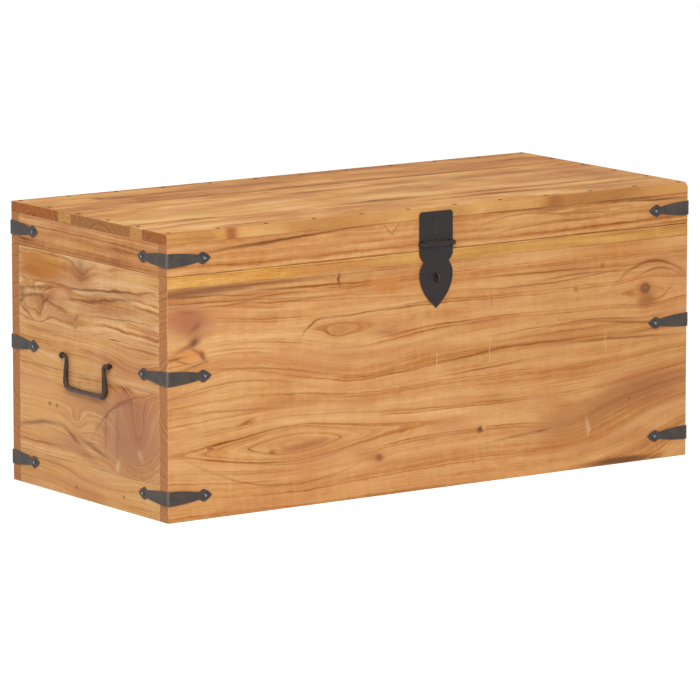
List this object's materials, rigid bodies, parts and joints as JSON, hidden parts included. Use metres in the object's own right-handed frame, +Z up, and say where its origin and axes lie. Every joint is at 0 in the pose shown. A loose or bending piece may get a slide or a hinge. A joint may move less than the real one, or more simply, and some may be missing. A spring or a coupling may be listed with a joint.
{
  "type": "storage chest",
  "caption": "Long solid-wood storage chest with a hinged lid, a spade-shaped hasp over a staple, forged corner straps and a drop handle on each end.",
  "frame": {"origin": "middle of the base, on the floor plane", "axes": "+X along the length to the right end as seen from the front, -Y out of the front with the hasp, +Z up"},
  "size_m": [0.9208, 0.419, 0.4],
  "materials": {
    "acacia_honey": "satin lacquer over honey brown acacia",
    "acacia_red": "satin lacquer over reddish brown acacia",
    "acacia_pale": "satin lacquer over pale yellow acacia",
    "acacia_dark": "satin lacquer over dark brown acacia",
    "blackened_iron": "matt blackened iron with rusty brown cut edges",
    "nail_steel": "dark grey, worn bright on the crowns"
  },
  "bodies": {
    "carcass": {"front_panel": "acacia_honey", "front_rim_strip": "acacia_pale", "rear_panel": "acacia_honey", "rear_rim_strip": "acacia_honey", "left_end_top_board": "acacia_honey", "left_end_middle_board": "acacia_honey", "left_end_lower_board": "acacia_red", "left_end_foot_board": "acacia_pale", "right_end_top_board": "acacia_honey", "right_end_middle_board": "acacia_honey", "right_end_lower_board": "acacia_red", "right_end_foot_board": "acacia_pale", "bottom_board": "acacia_pale", "bottom_batten_left": "acacia_pale", "bottom_batten_centre": "acacia_pale", "bottom_batten_right": "acacia_pale", "strap_middle_front_left": "blackened_iron", "strap_middle_front_right": "blackened_iron", "strap_middle_rear_left": "blackened_iron", "strap_middle_rear_right": "blackened_iron", "strap_bottom_front_left": "blackened_iron", "strap_bottom_front_right": "blackened_iron", "strap_bottom_rear_left": "blackened_iron", "strap_bottom_rear_right": "blackened_iron", "strap_nails_case": "nail_steel", "hinge_left_lower_leaf": "blackened_iron", "hinge_right_lower_leaf": "blackened_iron", "hinge_left_pin": "blackened_iron", "hinge_right_pin": "blackened_iron", "hinge_nails_case": "nail_steel", "hasp_staple": "blackened_iron", "left_handle_eyes": "blackened_iron", "right_handle_eyes": "blackened_iron"},
    "lid": {"lid_stave_1": "acacia_red", "lid_stave_2": "acacia_pale", "lid_stave_3": "acacia_dark", "lid_stave_4": "acacia_pale", "lid_stave_5": "acacia_red", "lid_front_rail": "acacia_honey", "lid_rear_rail": "acacia_honey", "lid_left_rail": "acacia_honey", "lid_right_rail": "acacia_honey", "lid_nails": "nail_steel", "strap_lid_front_left": "blackened_iron", "strap_lid_front_right": "blackened_iron", "strap_lid_rear_left": "blackened_iron", "strap_lid_rear_right": "blackened_iron", "strap_nails_lid": "nail_steel", "hinge_left_upper_leaf": "blackened_iron", "hinge_right_upper_leaf": "blackened_iron", "hinge_nails_lid": "nail_steel", "hasp_plate": "blackened_iron", "hasp_pin": "blackened_iron", "hasp_plate_nails": "nail_steel"},
    "hasp_leaf": {"hasp_leaf": "blackened_iron"},
    "left_bail": {"left_bail": "blackened_iron"},
    "right_bail": {"right_bail": "blackened_iron"}
  },
  "joints": [
    {"name": "lid_hinge", "type": "hinge", "parent": "carcass", "child": "lid", "pos_m": [0, 0.20415, 0.3402], "axis": [-1, 0, 0], "range_deg": [0, 105]},
    {"name": "hasp_hinge", "type": "hinge", "parent": "lid", "child": "hasp_leaf", "pos_m": [0, -0.20425, 0.3494], "axis": [-1, 0, 0], "range_deg": [0, 175]},
    {"name": "left_bail_pivot", "type": "hinge", "parent": "carcass", "child": "left_bail", "pos_m": [-0.4556, 0, 0.199], "axis": [0, 1, 0], "range_deg": [0, 180]},
    {"name": "right_bail_pivot", "type": "hinge", "parent": "carcass", "child": "right_bail", "pos_m": [0.4556, 0, 0.199], "axis": [0, -1, 0], "range_deg": [0, 180]}
  ]
}
